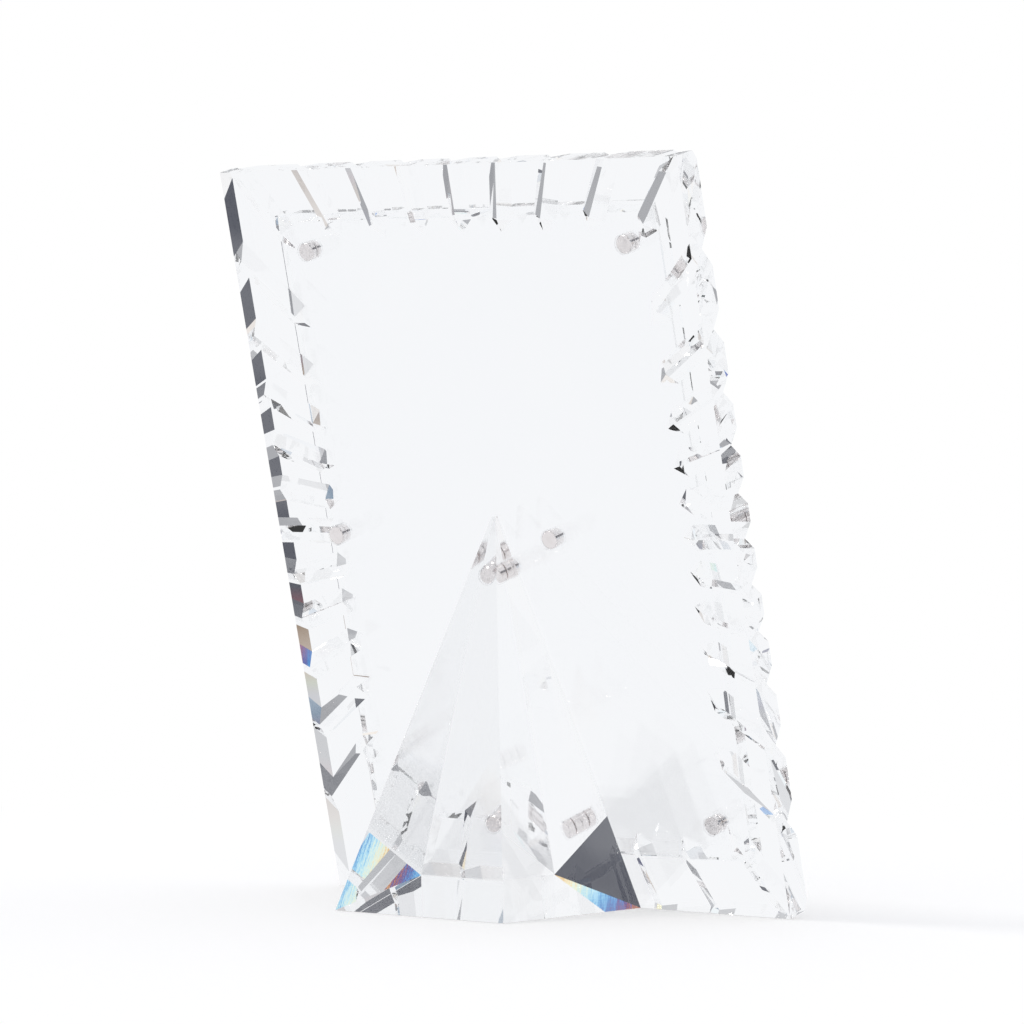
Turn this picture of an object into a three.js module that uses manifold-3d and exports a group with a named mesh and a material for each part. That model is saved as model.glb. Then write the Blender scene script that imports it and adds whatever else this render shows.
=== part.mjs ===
// Clear acrylic photo frame for a 5 x 7 inch print, standing in portrait on a magnetic foot.
// The back plate is larger than the print, and V grooves cut across its border point at the
// middle of the picture. A bevelled front plate covers the print and is held by disc magnets
// at its corners. A solid pyramid foot sticks to magnets in the back plate, which has a second
// pair for standing in landscape.
// Units are millimetres, +Z is up, the picture faces -Y. The origin is the middle of the foot's
// base on the table. In the leaning group, y = 0 is the back face and z = 0 its bottom edge.

import * as THREE from 'three';
import { mergeVertices } from 'three/addons/utils/BufferGeometryUtils.js';
import Module from 'manifold-3d';

const wasm = await Module();
wasm.setup();

// Print, and how far the front plate reaches past it
const photoWidth = 127;
const photoHeight = 177.8;
const photoMargin = 0.8;
const photoGap = 0.4;

// Back plate with its grooved border
const borderWidth = 13;
const backThickness = 8.5;
const grooveCount = 40;
const grooveDepth = 3.6;
const grooveDegrees = 90;
const grooveReach = 19.5;
const grooveRunOut = 3.6;

// Front plate, with a sloping edge all round its front face
const frontThickness = 7.5;
const frontBevel = 3.2;
const rearEdgeBreak = 0.3;

// Disc magnets and their holes
const discDiameter = 5;
const discHeight = 3;
const discChamfer = 0.25;
const discSeam = 0.3;
const discsPerStack = 2;
const magnetClearance = 0.3;
const roundSides = 28;

// Where the magnets are
const cornerMagnetInset = 10.4;
const lowerMagnetRise = 20;
const upperMagnetDrop = 15;

// Foot and lean
const leanDegrees = 15;
const footWidth = 57;
const footDepth = 60;
const footReach = 109;
const footTipWidth = 1.2;
const footTipDepth = 0.8;
const footClearance = 0.3;

// Sizes that follow from those above
const lean = THREE.MathUtils.degToRad(leanDegrees);
const frontWidth = photoWidth + 2 * photoMargin;
const frontHeight = photoHeight + 2 * photoMargin;
const backWidth = frontWidth + 2 * borderWidth;
const backHeight = frontHeight + 2 * borderWidth;
const grooveAngle = THREE.MathUtils.degToRad(grooveDegrees);
const frontFrom = backThickness + photoGap;
const frontTo = frontFrom + frontThickness;
const panelCentre = backHeight / 2;
const holeRadius = discDiameter / 2 + magnetClearance;
const stackHeight = discsPerStack * discHeight + (discsPerStack - 1) * discSeam;
const contactFront = footClearance / Math.cos(lean);

function acrylic(color) {
  return new THREE.MeshStandardMaterial({
    color, roughness: 0.04, metalness: 0, transparent: true, opacity: 0.35, side: THREE.DoubleSide,
  });
}

function nickel() {
  return new THREE.MeshStandardMaterial({ color: 0xcfc6c4, roughness: 0.22, metalness: 1 });
}

function toSolid(geometry) {
  const bare = geometry.clone();
  bare.deleteAttribute('normal');
  bare.deleteAttribute('uv');
  const merged = mergeVertices(bare, 1e-5);
  const mesh = new wasm.Mesh({
    numProp: 3,
    vertProperties: new Float32Array(merged.attributes.position.array),
    triVerts: new Uint32Array(merged.index.array),
  });
  mesh.merge();
  return new wasm.Manifold(mesh);
}

function toGeometry(solid) {
  const mesh = solid.getMesh();
  const geometry = new THREE.BufferGeometry();
  geometry.setAttribute('position', new THREE.BufferAttribute(mesh.vertProperties, 3));
  geometry.setIndex(new THREE.BufferAttribute(mesh.triVerts, 1));
  geometry.computeVertexNormals();
  return geometry;
}

// Joins closed rings of points, all with the same count and order, and closes both ends.
// Each ring runs anticlockwise as seen from the end that the last ring is at. Each quad is
// split along its shorter diagonal, which keeps the grooves alike on both sides of the frame.
function loft(rings) {
  const count = rings[0].length;
  const positions = [];
  const faces = [];
  for (const ring of rings) {
    for (const point of ring) positions.push(point.x, point.y, point.z);
  }
  for (let r = 0; r + 1 < rings.length; r += 1) {
    for (let i = 0; i < count; i += 1) {
      const next = (i + 1) % count;
      const a = r * count + i;
      const b = r * count + next;
      const rising = rings[r][i].distanceTo(rings[r + 1][next]);
      const falling = rings[r][next].distanceTo(rings[r + 1][i]);
      if (rising <= falling) faces.push(a, b, b + count, a, b + count, a + count);
      else faces.push(a, b, a + count, b, b + count, a + count);
    }
  }
  const addCap = (ring, start, flip) => {
    const middle = ring.reduce((sum, point) => sum.add(point), new THREE.Vector3());
    middle.divideScalar(count);
    const centre = positions.length / 3;
    positions.push(middle.x, middle.y, middle.z);
    for (let i = 0; i < count; i += 1) {
      const a = start + i;
      const b = start + ((i + 1) % count);
      faces.push(...(flip ? [centre, b, a] : [centre, a, b]));
    }
  };
  addCap(rings[0], 0, true);
  addCap(rings[rings.length - 1], (rings.length - 1) * count, false);
  const geometry = new THREE.BufferGeometry();
  geometry.setAttribute('position', new THREE.Float32BufferAttribute(positions, 3));
  geometry.setIndex(faces);
  geometry.computeVertexNormals();
  return geometry;
}

// Distance from the middle of a rectangle to its edge in the direction of an angle
function edgeDistance(angle, width, height) {
  const across = Math.abs(Math.cos(angle)) / (width / 2);
  const up = Math.abs(Math.sin(angle)) / (height / 2);
  return 1 / Math.max(across, up);
}

// A V cutter along one ray from the middle. Its root runs level under the front face from
// outside the edge, and rises out of the face where the groove ends in a point.
function grooveCutter(angle) {
  const outward = new THREE.Vector3(Math.cos(angle), 0, Math.sin(angle));
  const sideways = new THREE.Vector3(-Math.sin(angle), 0, Math.cos(angle));
  const rootAt = (inset, depth) => {
    const reach = edgeDistance(angle, backWidth - 2 * inset, backHeight - 2 * inset);
    return outward.clone().multiplyScalar(reach).add(new THREE.Vector3(0, -depth, panelCentre));
  };
  const start = rootAt(-borderWidth, backThickness - grooveDepth);
  const knee = rootAt(grooveReach - grooveRunOut, backThickness - grooveDepth);
  const end = rootAt(grooveReach, backThickness);
  const rise = 2 * grooveDepth;
  const spread = sideways.clone().multiplyScalar(rise * Math.tan(grooveAngle / 2));
  const lift = new THREE.Vector3(0, -rise, 0);
  const section = (root) => [
    root.clone(),
    root.clone().add(lift).add(spread),
    root.clone().add(lift).sub(spread),
  ];
  return loft([section(knee.clone().lerp(end, 1.5)), section(knee), section(start)]);
}

// Radial grooves cut across the border give it its scalloped edge
function grooved(solid) {
  const cutters = [];
  for (let i = 0; i < grooveCount; i += 1) {
    cutters.push(toSolid(grooveCutter((i * 2 * Math.PI) / grooveCount)));
  }
  return solid.subtract(wasm.Manifold.union(cutters));
}

// A plate with square corners, parallel to the back face and lying between two depths from it.
// Its rear and front edges can slope inwards at 45 degrees.
function plateBlank(width, height, from, to, rearBevel = 0, bevel = 0) {
  const ring = (inset, depth) => {
    const x = width / 2 - inset;
    const z = height / 2 - inset;
    return [[x, z], [-x, z], [-x, -z], [x, -z]].map(
      ([px, pz]) => new THREE.Vector3(px, -depth, panelCentre + pz),
    );
  };
  const rings = [ring(0, from + rearBevel), ring(0, to - bevel)];
  if (rearBevel > 0) rings.unshift(ring(rearBevel, from));
  if (bevel > 0) rings.push(ring(bevel, to));
  return toSolid(loft(rings));
}

// A round bar along the depth of the panel, used for magnets and for the holes they sit in
function roundBar(x, z, radius, from, to, chamfer = 0) {
  const length = to - from;
  const profile = [new THREE.Vector2(0, 0)];
  if (chamfer > 0) {
    profile.push(new THREE.Vector2(radius - chamfer, 0), new THREE.Vector2(radius, chamfer));
    profile.push(new THREE.Vector2(radius, length - chamfer));
    profile.push(new THREE.Vector2(radius - chamfer, length));
  } else {
    profile.push(new THREE.Vector2(radius, 0), new THREE.Vector2(radius, length));
  }
  profile.push(new THREE.Vector2(0, length));
  const geometry = new THREE.LatheGeometry(profile, roundSides);
  geometry.translate(x, -to, z);
  return geometry;
}

function cornerPlaces() {
  const x = frontWidth / 2 - cornerMagnetInset;
  const z = frontHeight / 2 - cornerMagnetInset;
  return [
    { name: 'top_right', x, z: panelCentre + z },
    { name: 'top_left', x: -x, z: panelCentre + z },
    { name: 'bottom_right', x, z: panelCentre - z },
    { name: 'bottom_left', x: -x, z: panelCentre - z },
  ];
}

// Heights along the leaning face, the lower from the table edge and the upper from the foot's tip
function portraitPlaces() {
  return [
    { name: 'portrait_lower', x: 0, z: lowerMagnetRise },
    { name: 'portrait_upper', x: 0, z: footReach - upperMagnetDrop },
  ];
}

// The portrait pair stands over the bottom edge. The landscape pair is as far from one long edge.
function footPlaces() {
  const turned = portraitPlaces().map((place) => ({
    name: place.name.replace('portrait', 'landscape'),
    x: backWidth / 2 - place.z,
    z: panelCentre,
  }));
  return [...portraitPlaces(), ...turned];
}

function bored(solid, places, from, to) {
  let result = solid;
  for (const place of places) {
    result = result.subtract(toSolid(roundBar(place.x, place.z, holeRadius, from, to)));
  }
  return result;
}

const overrun = 1;

function backPlate() {
  const blank = grooved(plateBlank(backWidth, backHeight, 0, backThickness));
  const cornerHoleStart = backThickness - discHeight - magnetClearance;
  const withCorners = bored(blank, cornerPlaces(), cornerHoleStart, backThickness + overrun);
  return toGeometry(bored(withCorners, footPlaces(), -overrun, stackHeight + magnetClearance));
}

function frontPlate() {
  const blank = plateBlank(
    frontWidth, frontHeight, frontFrom, frontTo, rearEdgeBreak, frontBevel,
  );
  const holeEnd = frontFrom + discHeight + magnetClearance;
  return toGeometry(bored(blank, cornerPlaces(), frontFrom - overrun, holeEnd));
}

// Oblique pyramid: a flat base on the table, a leaning face against the plate, and a tip that
// lies in that face. Made upright in table coordinates, its front edge under the back face.
function footBlank() {
  const tipHeight = footReach * Math.cos(lean);
  const tipFront = contactFront + footReach * Math.sin(lean);
  const rectangle = (width, front, depth, z) => [
    new THREE.Vector3(width / 2, front, z),
    new THREE.Vector3(width / 2, front + depth, z),
    new THREE.Vector3(-width / 2, front + depth, z),
    new THREE.Vector3(-width / 2, front, z),
  ];
  return loft([
    rectangle(footWidth, contactFront, footDepth, 0),
    rectangle(footTipWidth, tipFront, footTipDepth, tipHeight),
  ]);
}

function leaned(geometry) {
  return geometry.rotateX(-lean);
}

function standFoot() {
  let solid = toSolid(footBlank());
  for (const place of portraitPlaces()) {
    const end = -footClearance - stackHeight - magnetClearance;
    const hole = leaned(roundBar(place.x, place.z, holeRadius, end, overrun - footClearance));
    solid = solid.subtract(toSolid(hole));
  }
  return toGeometry(solid);
}

const frame = new THREE.Group();
frame.position.set(0, -contactFront - footDepth / 2, 0);

const panel = new THREE.Group();
panel.rotation.x = -lean;
frame.add(panel);

function addPiece(group, name, geometry, material) {
  const mesh = new THREE.Mesh(geometry, material);
  mesh.name = name;
  group.add(mesh);
}

function addDisc(name, place, from, to) {
  const geometry = roundBar(place.x, place.z, discDiameter / 2, from, to, discChamfer);
  addPiece(panel, name, geometry, nickel());
}

addPiece(panel, 'back_plate', backPlate(), acrylic(0xf4f5f8));
addPiece(panel, 'front_plate', frontPlate(), acrylic(0xf7f8fa));
addPiece(frame, 'stand_foot', standFoot(), acrylic(0xf4f5f8));

for (const place of cornerPlaces()) {
  addDisc(`front_magnet_${place.name}`, place, frontFrom, frontFrom + discHeight);
  addDisc(`back_magnet_${place.name}`, place, backThickness - discHeight, backThickness);
}

for (let i = 0; i < discsPerStack; i += 1) {
  const from = i * (discHeight + discSeam);
  for (const place of footPlaces()) {
    addDisc(`back_${place.name}_disc_${i + 1}`, place, from, from + discHeight);
  }
  for (const place of portraitPlaces()) {
    const name = place.name.replace('portrait', 'foot');
    addDisc(`${name}_disc_${i + 1}`, place, -footClearance - from - discHeight, -footClearance - from);
  }
}

export default frame;
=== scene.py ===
"""Looks of the clear acrylic photo frame: polished acrylic, nickel magnets, white studio."""

import math

import bmesh
import bpy
from mathutils import Matrix, Vector


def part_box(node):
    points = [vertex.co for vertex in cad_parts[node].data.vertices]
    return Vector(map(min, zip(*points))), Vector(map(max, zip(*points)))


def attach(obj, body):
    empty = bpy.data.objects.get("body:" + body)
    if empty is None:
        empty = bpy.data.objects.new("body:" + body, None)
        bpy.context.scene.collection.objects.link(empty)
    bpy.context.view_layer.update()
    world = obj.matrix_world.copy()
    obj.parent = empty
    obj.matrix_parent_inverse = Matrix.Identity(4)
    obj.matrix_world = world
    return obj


MM = 0.001
DEGREES = 180.0 / math.pi

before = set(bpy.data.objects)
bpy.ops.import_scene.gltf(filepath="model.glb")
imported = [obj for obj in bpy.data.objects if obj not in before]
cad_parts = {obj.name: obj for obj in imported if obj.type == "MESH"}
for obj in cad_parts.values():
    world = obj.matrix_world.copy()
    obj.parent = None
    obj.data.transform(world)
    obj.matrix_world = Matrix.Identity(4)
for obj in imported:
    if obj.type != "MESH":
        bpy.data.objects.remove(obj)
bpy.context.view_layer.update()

# Camera, as fitted to the corners of the frame in the photograph. Its azimuth is the angle from
# straight behind the frame.
CAMERA_AZIMUTH = math.radians(38.0)
CAMERA_HEIGHT = math.radians(0.75)
CAMERA_ROLL = math.radians(0.37)
CAMERA_DISTANCE = 1403.2 * MM
CAMERA_TARGET = Vector((16.66, -30.31, 106.07)) * MM
CAMERA_LENS = 179.62
CAMERA_SENSOR = 36.0
CAMERA_CLIP = 50.0


def make_camera():
    """Camera where the photograph was taken from, with its small roll."""
    across = math.cos(CAMERA_HEIGHT)
    towards_camera = Vector((
        -math.sin(CAMERA_AZIMUTH) * across,
        math.cos(CAMERA_AZIMUTH) * across,
        math.sin(CAMERA_HEIGHT),
    ))
    level = (-towards_camera).cross(Vector((0, 0, 1))).normalized()
    upright = level.cross(-towards_camera)
    right = level * math.cos(CAMERA_ROLL) + upright * math.sin(CAMERA_ROLL)
    up = upright * math.cos(CAMERA_ROLL) - level * math.sin(CAMERA_ROLL)
    data = bpy.data.cameras.new("photo_camera")
    data.lens = CAMERA_LENS
    data.sensor_width = CAMERA_SENSOR
    data.clip_end = CAMERA_CLIP
    camera = bpy.data.objects.new("photo_camera", data)
    bpy.context.scene.collection.objects.link(camera)
    placed = Matrix((right, up, towards_camera)).transposed().to_4x4()
    placed.translation = CAMERA_TARGET + towards_camera * CAMERA_DISTANCE
    camera.matrix_world = placed
    bpy.context.scene.camera = camera


# Lean of the panel, its magnets and their holes, as in the source
LEAN = math.radians(15)
DISC_HEIGHT = 3.0 * MM
DISC_SEAM = 0.3 * MM
MAGNET_CLEARANCE = 0.3 * MM
HOLE_SIDES = 28
# Clear glue round the magnets, a hair wider and deeper than the hole and short of its mouth
GLUE_RADIUS = 2.815 * MM
GLUE_OVERLAP = 0.015 * MM
GLUE_SHORTFALL = 0.03 * MM

# Values of the noise at which haze begins and is full
HAZE_START, HAZE_FULL = 0.48, 0.72
HAZE_DETAIL = 3.0
# Polishing lines are drawn out along the leaning panel, a little askew
LINE_DETAIL = 2.0
LINE_STRETCH = (1.0, 1.0, 0.06)
LINE_TURN = (LEAN, 0, math.radians(8))
# Tones between the marks and on them
ACRYLIC_TONES = (1.0, 1.0, 1.0), (0.985, 0.99, 0.995)
NICKEL_TONES = (0.87, 0.835, 0.83), (0.77, 0.73, 0.725)
ACRYLIC_IOR = 1.49

# Sockets of a Mix node that are in use when it mixes colours
MIX_FACTOR, MIX_FIRST, MIX_SECOND, MIX_RESULT = 0, 6, 7, 2


def new_material(name):
    material = bpy.data.materials.new(name)
    material.use_nodes = True
    return material, material.node_tree.nodes, material.node_tree.links


def surface_marks_group():
    """Group of the faint marks of handling and polishing, shared by every material.

    Cloudy haze changes the tone and the roughness. Haze and fine polishing lines make the height.
    """
    group = bpy.data.node_groups.new("surface_marks", "ShaderNodeTree")
    for name in ("Haze Scale", "Hairline Scale", "Low", "High"):
        group.interface.new_socket(name, in_out="INPUT", socket_type="NodeSocketFloat")
    for name in ("Light Tone", "Dark Tone"):
        group.interface.new_socket(name, in_out="INPUT", socket_type="NodeSocketColor")
    group.interface.new_socket("Tone", in_out="OUTPUT", socket_type="NodeSocketColor")
    for name in ("Roughness", "Height"):
        group.interface.new_socket(name, in_out="OUTPUT", socket_type="NodeSocketFloat")
    nodes, links = group.nodes, group.links
    given, result = nodes.new("NodeGroupInput"), nodes.new("NodeGroupOutput")
    place = nodes.new("ShaderNodeTexCoord").outputs["Object"]

    haze = nodes.new("ShaderNodeTexNoise")
    haze.inputs["Detail"].default_value = HAZE_DETAIL
    links.new(place, haze.inputs["Vector"])
    links.new(given.outputs["Haze Scale"], haze.inputs["Scale"])
    cloud = nodes.new("ShaderNodeMapRange")
    cloud.inputs["From Min"].default_value = HAZE_START
    cloud.inputs["From Max"].default_value = HAZE_FULL
    links.new(haze.outputs["Fac"], cloud.inputs["Value"])
    links.new(given.outputs["Low"], cloud.inputs["To Min"])
    links.new(given.outputs["High"], cloud.inputs["To Max"])
    links.new(cloud.outputs["Result"], result.inputs["Roughness"])

    stretch = nodes.new("ShaderNodeMapping")
    stretch.inputs["Scale"].default_value = LINE_STRETCH
    stretch.inputs["Rotation"].default_value = LINE_TURN
    links.new(place, stretch.inputs["Vector"])
    hairline = nodes.new("ShaderNodeTexNoise")
    hairline.inputs["Detail"].default_value = LINE_DETAIL
    links.new(stretch.outputs["Vector"], hairline.inputs["Vector"])
    links.new(given.outputs["Hairline Scale"], hairline.inputs["Scale"])
    relief = nodes.new("ShaderNodeMath")
    relief.operation = "ADD"
    links.new(haze.outputs["Fac"], relief.inputs[0])
    links.new(hairline.outputs["Fac"], relief.inputs[1])
    links.new(relief.outputs[0], result.inputs["Height"])

    tone = nodes.new("ShaderNodeMix")
    tone.data_type = "RGBA"
    links.new(haze.outputs["Fac"], tone.inputs[MIX_FACTOR])
    links.new(given.outputs["Light Tone"], tone.inputs[MIX_FIRST])
    links.new(given.outputs["Dark Tone"], tone.inputs[MIX_SECOND])
    links.new(tone.outputs[MIX_RESULT], result.inputs["Tone"])
    return group


def marked_surface(name, marks, haze_scale, hairline_scale, roughness, tones, relief):
    """Principled material whose colour, roughness and bump come from the surface marks.

    Roughness and tones are pairs: between the marks, and on them.
    """
    material, nodes, links = new_material(name)
    surface = nodes["Principled BSDF"]
    wear = nodes.new("ShaderNodeGroup")
    wear.node_tree = marks
    for socket, value in (
        ("Haze Scale", haze_scale), ("Hairline Scale", hairline_scale),
        ("Low", roughness[0]), ("High", roughness[1]),
        ("Light Tone", (*tones[0], 1.0)), ("Dark Tone", (*tones[1], 1.0)),
    ):
        wear.inputs[socket].default_value = value
    bump = nodes.new("ShaderNodeBump")
    bump.inputs["Strength"].default_value = 1.0
    bump.inputs["Distance"].default_value = relief
    links.new(wear.outputs["Height"], bump.inputs["Height"])
    links.new(bump.outputs["Normal"], surface.inputs["Normal"])
    links.new(wear.outputs["Tone"], surface.inputs["Base Color"])
    links.new(wear.outputs["Roughness"], surface.inputs["Roughness"])
    return material, surface


def clear_acrylic(name, marks, haze_scale, hairline_scale, haziest, relief):
    material, surface = marked_surface(
        name, marks, haze_scale, hairline_scale, (0.0, haziest), ACRYLIC_TONES, relief,
    )
    surface.inputs["IOR"].default_value = ACRYLIC_IOR
    surface.inputs["Transmission Weight"].default_value = 1.0
    return material


def magnet_nickel(marks):
    material, surface = marked_surface(
        "magnet_nickel", marks, haze_scale=900.0, hairline_scale=2600.0, roughness=(0.12, 0.22),
        tones=NICKEL_TONES, relief=0.0016 * MM,
    )
    surface.inputs["Metallic"].default_value = 1.0
    return material


def magnet_glue(name, body, first_disc, rear, front, glue):
    """Clear glue round one magnet or stack, which joins its sides optically to the acrylic.

    It reaches a hair into the wall of the hole. Its ends lie at two depths in front of the
    middle of the first disc.
    """
    low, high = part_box(first_disc)
    middle = (Vector(low) + Vector(high)) / 2
    shape = bmesh.new()
    bmesh.ops.create_cone(
        shape, cap_ends=True, segments=HOLE_SIDES, radius1=GLUE_RADIUS, radius2=GLUE_RADIUS,
        depth=front - rear,
    )
    bmesh.ops.translate(shape, verts=shape.verts, vec=(0, 0, (front + rear) / 2))
    forwards = Vector((0, -math.cos(LEAN), math.sin(LEAN)))
    upwards = Vector((0, math.sin(LEAN), math.cos(LEAN)))
    across = upwards.cross(forwards)
    turned = Matrix((across, upwards, forwards)).transposed().to_4x4()
    bmesh.ops.transform(shape, matrix=Matrix.Translation(middle) @ turned, verts=shape.verts)
    bmesh.ops.recalc_face_normals(shape, faces=shape.faces)
    mesh = bpy.data.meshes.new(name)
    shape.to_mesh(mesh)
    shape.free()
    mesh.materials.append(glue)
    piece = bpy.data.objects.new(name, mesh)
    bpy.context.scene.collection.objects.link(piece)
    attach(piece, body)


def glue_magnets(glue):
    """Glue for the corner magnets of both plates, and for the stacks in the back and the foot."""
    half = DISC_HEIGHT / 2
    past_hole = half + MAGNET_CLEARANCE + GLUE_OVERLAP
    past_face = half - GLUE_SHORTFALL
    stack = DISC_HEIGHT + DISC_SEAM
    facing_plates = (("back", -past_hole, past_face), ("front", -past_face, past_hole))
    for corner in ("top_right", "top_left", "bottom_right", "bottom_left"):
        for body, rear, front in facing_plates:
            disc = f"{body}_magnet_{corner}"
            magnet_glue(f"{body}_glue_{corner}", body, disc, rear, front, glue)
    for place in ("portrait_lower", "portrait_upper", "landscape_lower", "landscape_upper"):
        disc = f"back_{place}_disc_1"
        magnet_glue(f"back_glue_{place}", "back", disc, -past_face, stack + past_hole, glue)
    for place in ("lower", "upper"):
        disc = f"foot_{place}_disc_1"
        magnet_glue(f"foot_glue_{place}", "foot", disc, -stack - past_hole, past_face, glue)


def dress(node, material):
    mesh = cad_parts[node].data
    mesh.materials.clear()
    mesh.materials.append(material)


# Dark cards round the studio: azimuth from and to, height from and to, in degrees, and how dark.
# Azimuth 0 is in front of the picture and 90 is towards positive X. The last five are there for
# the dark facets in other views and change the photograph's own view little.
DARK_CARDS = (
    (-46.0, -37.5, -2.5, 6.0, 1.0),
    (-46.0, -37.5, -4.4, -2.0, 0.4),
    (-46.0, -37.5, -6.8, -2.0, 0.22),
    (-62.0, -37.0, 20.0, 38.0, 0.95),
    (-37.0, -30.8, 17.0, 33.0, 0.95),
    (-31.0, -26.2, 17.0, 20.2, 0.95),
    (-31.0, -26.2, 24.4, 33.0, 0.95),
    (-24.9, -16.5, 17.0, 33.0, 0.9),
    (-31.0, -15.0, 12.3, 19.0, 0.85),
    (-24.0, -14.0, 33.0, 50.0, 0.95),
    (-22.5, -15.0, -10.0, -2.5, 0.15),
    (121.0, 144.0, 13.5, 33.0, 0.97),
    (104.0, 121.0, 13.5, 28.0, 0.65),
    (120.8, 132.0, -2.5, 4.5, 0.75),
    (139.0, 153.0, -19.0, -9.0, 0.62),
    (-167.0, -147.5, -19.8, -2.0, 0.62),
    (-165.0, -140.0, 7.0, 15.0, 0.55),
    (-169.0, -156.0, -42.0, -33.0, 0.9),
    (74.0, 84.0, 4.0, 13.0, 0.7),
    (74.0, 83.0, 27.0, 35.0, 0.8),
    (88.0, 95.0, 42.0, 50.0, 0.65),
    (-14.0, 16.0, 27.5, 50.0, 0.4),
    (39.0, 51.0, -21.0, -14.0, 0.5),
    (100.0, 110.0, -30.5, -25.0, 0.55),
    (120.0, 130.0, -35.5, -30.0, 0.65),
    (16.0, 22.5, 35.0, 50.0, 0.25),
    (60.0, 67.5, 42.5, 50.0, 0.2),
    (67.5, 74.0, 5.0, 12.5, 0.25),
    (-7.5, 0.0, 20.0, 26.5, 0.25),
    (60.0, 70.0, -40.0, -35.0, 0.35),
    (-14.0, 6.0, -9.0, 17.0, 0.9),
    (84.0, 104.0, -22.0, 12.0, 0.9),
    (-100.0, -80.0, -28.0, 12.0, 0.85),
    (168.0, 181.0, -9.0, 8.0, 0.9),
    (-181.0, -170.0, -9.0, 8.0, 0.9),
)
# Slatted cards, which give the facets of the foot the colours that a prism spreads. After how
# dark come the degrees from one slat to the next, where the first slat starts and how far red,
# green and blue lie apart, both in radians of the slats' wave.
SLATTED_CARDS = (
    (-31.0, -26.2, 20.0, 24.6, 0.97, 0.7, math.pi, 0.8),
    (142.8, 151.5, -2.5, 5.0, 0.97, 1.35, 4.5, -0.8),
)
# Tone of the cards, and the patches in which they are a little faded
CARD_COLOUR = (0.033, 0.038, 0.062)
PATCH_SCALE = 60.0
PATCH_DETAIL = 2.0
PATCH_START, PATCH_FULL = 0.44, 0.60
CARD_FADED = 0.93
# Width of a card's soft edge, and how far red and blue are moved there, both in degrees
CARD_SOFTNESS = 1.5
COLOUR_SPREAD = 0.15
# What the pieces see where no card is, what lights the floor, and what the camera sees
BACKDROP = (0.93, 0.938, 0.955)
SKY_LIGHT = (0.84, 0.85, 0.90)
SKY_SEEN = (1.0, 1.0, 1.0)
# Below this height, in degrees, the cards show only to rays that were reflected on their way
CARDS_ALL_ABOVE = 8.0

FLOOR_HALF = 3.0
FLOOR_GAP = 0.2 * MM
FLOOR_WHITE = (0.985, 0.985, 0.985, 1)
# The floor's own shine is this share near the frame, and grows to all of it between two distances
FLOOR_SHINE_NEAR = 0.55
FLOOR_SHINE_START, FLOOR_SHINE_FULL = 0.15, 0.40

# Soft sun that draws the shadow
LAMP_AZIMUTH = math.radians(128)
LAMP_HEIGHT = math.radians(58)
LAMP_SPREAD = math.radians(14)
LAMP_DISTANCE = 1.5
LAMP_ENERGY = 0.72
LAMP_COLOUR = (1.0, 0.97, 0.92)

# Light trapped among the grooves turns black with fewer bounces
LIGHT_BOUNCES = 32


def floor_material():
    """White table, shaded near the frame and plain white further away."""
    material, nodes, links = new_material("white_floor")
    surface = nodes["Principled BSDF"]
    surface.inputs["Base Color"].default_value = FLOOR_WHITE
    surface.inputs["Roughness"].default_value = 1.0
    surface.inputs["Specular IOR Level"].default_value = 0.0
    far_white = nodes.new("ShaderNodeEmission")
    far_white.inputs["Color"].default_value = (1, 1, 1, 1)
    place = nodes.new("ShaderNodeVectorMath")
    place.operation = "LENGTH"
    links.new(nodes.new("ShaderNodeTexCoord").outputs["Object"], place.inputs[0])
    fade = nodes.new("ShaderNodeMapRange")
    fade.inputs["From Min"].default_value = FLOOR_SHINE_START
    fade.inputs["From Max"].default_value = FLOOR_SHINE_FULL
    fade.inputs["To Min"].default_value = FLOOR_SHINE_NEAR
    links.new(place.outputs["Value"], fade.inputs["Value"])
    blend = nodes.new("ShaderNodeMixShader")
    links.new(fade.outputs["Result"], blend.inputs["Fac"])
    links.new(surface.outputs["BSDF"], blend.inputs[1])
    links.new(far_white.outputs["Emission"], blend.inputs[2])
    links.new(blend.outputs["Shader"], nodes["Material Output"].inputs["Surface"])
    return material


def make_floor():
    """Floor for the shadow. The acrylic and the nickel see the white backdrop in its place."""
    mesh = bpy.data.meshes.new("studio_floor")
    sheet = bmesh.new()
    bmesh.ops.create_grid(sheet, x_segments=1, y_segments=1, size=FLOOR_HALF)
    bmesh.ops.translate(sheet, verts=sheet.verts, vec=(0, 0, -FLOOR_GAP))
    sheet.to_mesh(mesh)
    sheet.free()
    floor = bpy.data.objects.new("studio_floor", mesh)
    bpy.context.scene.collection.objects.link(floor)
    mesh.materials.append(floor_material())
    floor.visible_transmission = False
    floor.visible_glossy = False


def vector_node(tree, operation, *values):
    """Vector maths node fed with sockets or plain vectors."""
    node = tree.nodes.new("ShaderNodeVectorMath")
    node.operation = operation
    for socket, value in zip(node.inputs, values):
        if isinstance(value, tuple):
            socket.default_value = value
        else:
            tree.links.new(value, socket)
    return node.outputs["Vector"]


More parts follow.
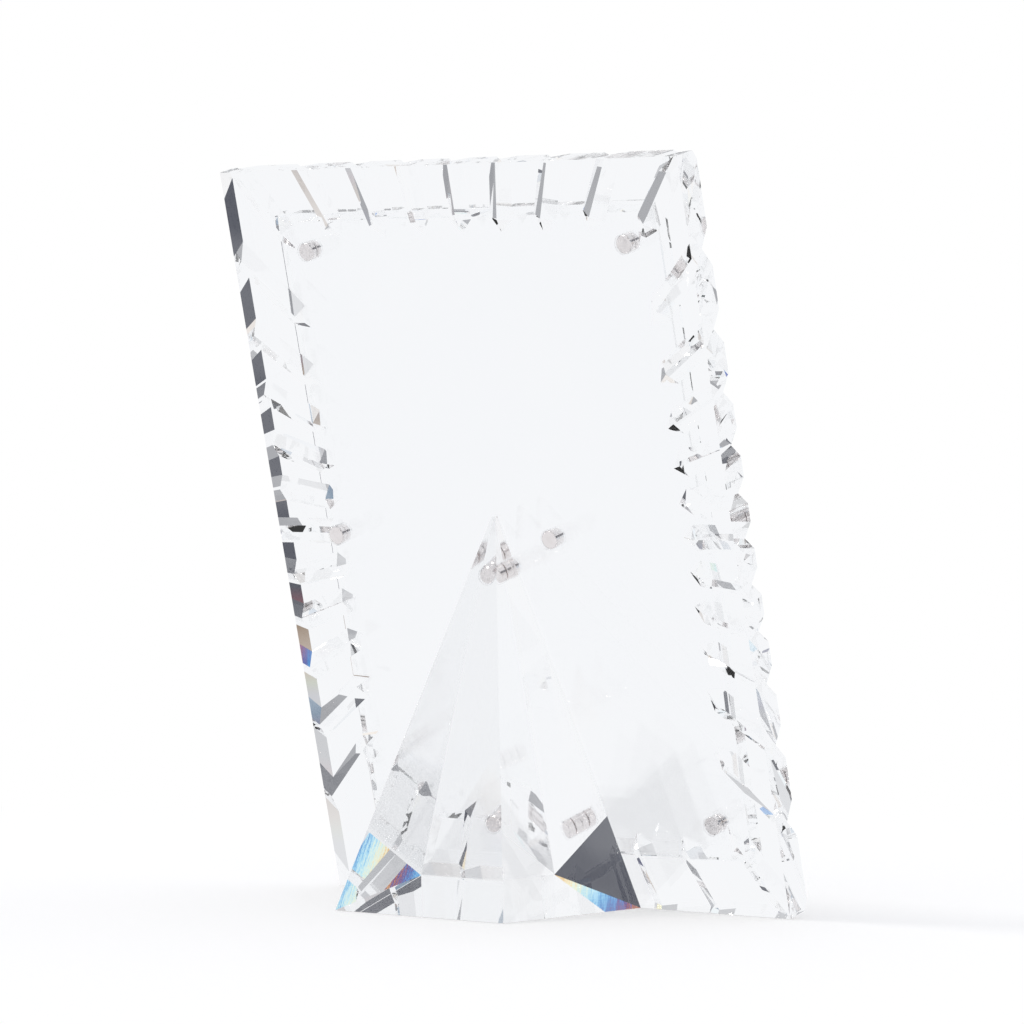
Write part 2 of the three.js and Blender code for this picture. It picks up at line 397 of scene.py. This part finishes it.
def card_mask_group():
    """Group that is a card's darkness inside it and 0 or less outside it, with a soft edge.

    Its red, green and blue lie a little apart, as a prism spreads them.
    """
    group = bpy.data.node_groups.new("card_mask", "ShaderNodeTree")
    for name in ("Azimuth", "Height", "From", "To", "Bottom", "Top", "Darkness"):
        group.interface.new_socket(name, in_out="INPUT", socket_type="NodeSocketFloat")
    group.interface.new_socket("Mask", in_out="OUTPUT", socket_type="NodeSocketColor")
    given = group.nodes.new("NodeGroupInput")
    result = group.nodes.new("NodeGroupOutput")

    def two_value(operation, first, second):
        node = group.nodes.new("ShaderNodeMath")
        node.operation = operation
        group.links.new(first, node.inputs[0])
        group.links.new(second, node.inputs[1])
        return node.outputs[0]

    def inside(larger, smaller):
        return two_value("SUBTRACT", given.outputs[larger], given.outputs[smaller])

    low_side = two_value("MINIMUM", inside("Azimuth", "From"), inside("Height", "Bottom"))
    low_side = vector_node(group, "ADD", low_side, (-COLOUR_SPREAD, 0.0, COLOUR_SPREAD))
    high_side = two_value("MINIMUM", inside("To", "Azimuth"), inside("Top", "Height"))
    high_side = vector_node(group, "ADD", high_side, (COLOUR_SPREAD, 0.0, -COLOUR_SPREAD))
    depth = vector_node(group, "MINIMUM", low_side, high_side)
    depth = vector_node(group, "MULTIPLY_ADD", depth, (1.0 / CARD_SOFTNESS,) * 3, (0.5,) * 3)
    depth = vector_node(group, "MINIMUM", depth, (1.0,) * 3)
    group.links.new(
        vector_node(group, "MULTIPLY", depth, given.outputs["Darkness"]), result.inputs["Mask"],
    )
    return group


def make_world():
    """White studio with the dark cards, as a function of direction and kind of ray."""
    world = bpy.data.worlds.new("white_studio")
    bpy.context.scene.world = world
    world.use_nodes = True
    nodes, links = world.node_tree.nodes, world.node_tree.links
    background = nodes["Background"]

    def math_node(operation, *values):
        node = nodes.new("ShaderNodeMath")
        node.operation = operation
        for socket, value in zip(node.inputs, values):
            if isinstance(value, float):
                socket.default_value = value
            else:
                links.new(value, socket)
        return node.outputs[0]

    generated = nodes.new("ShaderNodeTexCoord").outputs["Generated"]
    direction = nodes.new("ShaderNodeSeparateXYZ")
    links.new(generated, direction.inputs[0])
    facing = math_node("MULTIPLY", direction.outputs["Y"], -1.0)
    turn = math_node("ARCTAN2", direction.outputs["X"], facing)
    azimuth = math_node("MULTIPLY", turn, DEGREES)
    rise = math_node("ARCSINE", direction.outputs["Z"])
    height = math_node("MULTIPLY", rise, DEGREES)

    patches = nodes.new("ShaderNodeTexNoise")
    patches.inputs["Scale"].default_value = PATCH_SCALE
    patches.inputs["Detail"].default_value = PATCH_DETAIL
    links.new(generated, patches.inputs["Vector"])
    faded = nodes.new("ShaderNodeMapRange")
    faded.inputs["From Min"].default_value = PATCH_START
    faded.inputs["From Max"].default_value = PATCH_FULL
    faded.inputs["To Min"].default_value = 1.0
    faded.inputs["To Max"].default_value = CARD_FADED
    links.new(patches.outputs["Fac"], faded.inputs["Value"])

    group = card_mask_group()
    tree = world.node_tree

    def card_mask(card):
        mask = nodes.new("ShaderNodeGroup")
        mask.node_tree = group
        links.new(azimuth, mask.inputs["Azimuth"])
        links.new(height, mask.inputs["Height"])
        for name, value in zip(("From", "To", "Bottom", "Top", "Darkness"), card):
            mask.inputs[name].default_value = value
        return mask.outputs["Mask"]

    half = (0.5,) * 3
    darkest = (0.0,) * 3
    for card in DARK_CARDS:
        darkest = vector_node(tree, "MAXIMUM", card_mask(card), darkest)
    for *card, pitch, start, spread in SLATTED_CARDS:
        waves = (math.tau / pitch,) * 3
        starts = (start - spread, start, start + spread)
        wave = vector_node(tree, "MULTIPLY_ADD", azimuth, waves, starts)
        wave = vector_node(tree, "SINE", wave)
        slats = vector_node(tree, "MULTIPLY_ADD", wave, half, half)
        slatted = vector_node(tree, "MULTIPLY", card_mask(card), slats)
        darkest = vector_node(tree, "MAXIMUM", slatted, darkest)
    darkest = vector_node(tree, "MULTIPLY", darkest, faded.outputs["Result"])
    deepest = tuple(tone - 1.0 for tone in CARD_COLOUR)
    cards = vector_node(tree, "MULTIPLY_ADD", darkest, deepest, (1.0,) * 3)

    def mix(factor, first, second, blend="MIX"):
        node = nodes.new("ShaderNodeMix")
        node.data_type = "RGBA"
        node.blend_type = blend
        for index, value in ((MIX_FACTOR, factor), (MIX_FIRST, first), (MIX_SECOND, second)):
            socket = node.inputs[index]
            if isinstance(value, float):
                socket.default_value = value
            elif isinstance(value, tuple):
                socket.default_value = (*value, 1.0)
            else:
                links.new(value, socket)
        return node.outputs[MIX_RESULT]

    path = nodes.new("ShaderNodeLightPath")
    reflected = math_node("GREATER_THAN", path.outputs["Glossy Depth"], 0.5)
    high_up = math_node("GREATER_THAN", height, CARDS_ALL_ABOVE)
    reflected = math_node("MAXIMUM", reflected, high_up)
    through = mix(reflected, BACKDROP, mix(1.0, cards, BACKDROP, "MULTIPLY"))
    lit = mix(path.outputs["Is Diffuse Ray"], through, SKY_LIGHT)
    seen = mix(path.outputs["Is Camera Ray"], lit, SKY_SEEN)
    links.new(seen, background.inputs["Color"])
    background.inputs["Strength"].default_value = 1.0
    world.cycles.sampling_method = "NONE"


def make_lamp():
    data = bpy.data.lights.new("soft_lamp", "SUN")
    data.angle = LAMP_SPREAD
    data.energy = LAMP_ENERGY
    data.color = LAMP_COLOUR
    lamp = bpy.data.objects.new("soft_lamp", data)
    bpy.context.scene.collection.objects.link(lamp)
    place = Vector((
        math.sin(LAMP_AZIMUTH) * math.cos(LAMP_HEIGHT),
        -math.cos(LAMP_AZIMUTH) * math.cos(LAMP_HEIGHT),
        math.sin(LAMP_HEIGHT),
    )) * LAMP_DISTANCE
    lamp.location = place
    lamp.rotation_euler = place.to_track_quat("Z", "Y").to_euler()


make_camera()
surface_marks = surface_marks_group()
plate_back = clear_acrylic(
    "polished_back_plate", surface_marks,
    haze_scale=28.0, hairline_scale=420.0, haziest=0.012, relief=0.0004 * MM,
)
plate_front = clear_acrylic(
    "polished_front_plate", surface_marks,
    haze_scale=22.0, hairline_scale=350.0, haziest=0.010, relief=0.0003 * MM,
)
foot_block = clear_acrylic(
    "polished_foot", surface_marks,
    haze_scale=35.0, hairline_scale=500.0, haziest=0.015, relief=0.0012 * MM,
)
clear_glue = clear_acrylic(
    "clear_glue", surface_marks,
    haze_scale=300.0, hairline_scale=900.0, haziest=0.06, relief=0.002 * MM,
)
nickel = magnet_nickel(surface_marks)
finish = {"back_plate": plate_back, "front_plate": plate_front, "stand_foot": foot_block}
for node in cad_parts:
    dress(node, finish.get(node, nickel))
glue_magnets(clear_glue)
make_floor()
make_world()
make_lamp()
bpy.context.scene.view_settings.view_transform = "Standard"
cycles = bpy.context.scene.cycles
cycles.max_bounces = cycles.glossy_bounces = cycles.transmission_bounces = LIGHT_BOUNCES
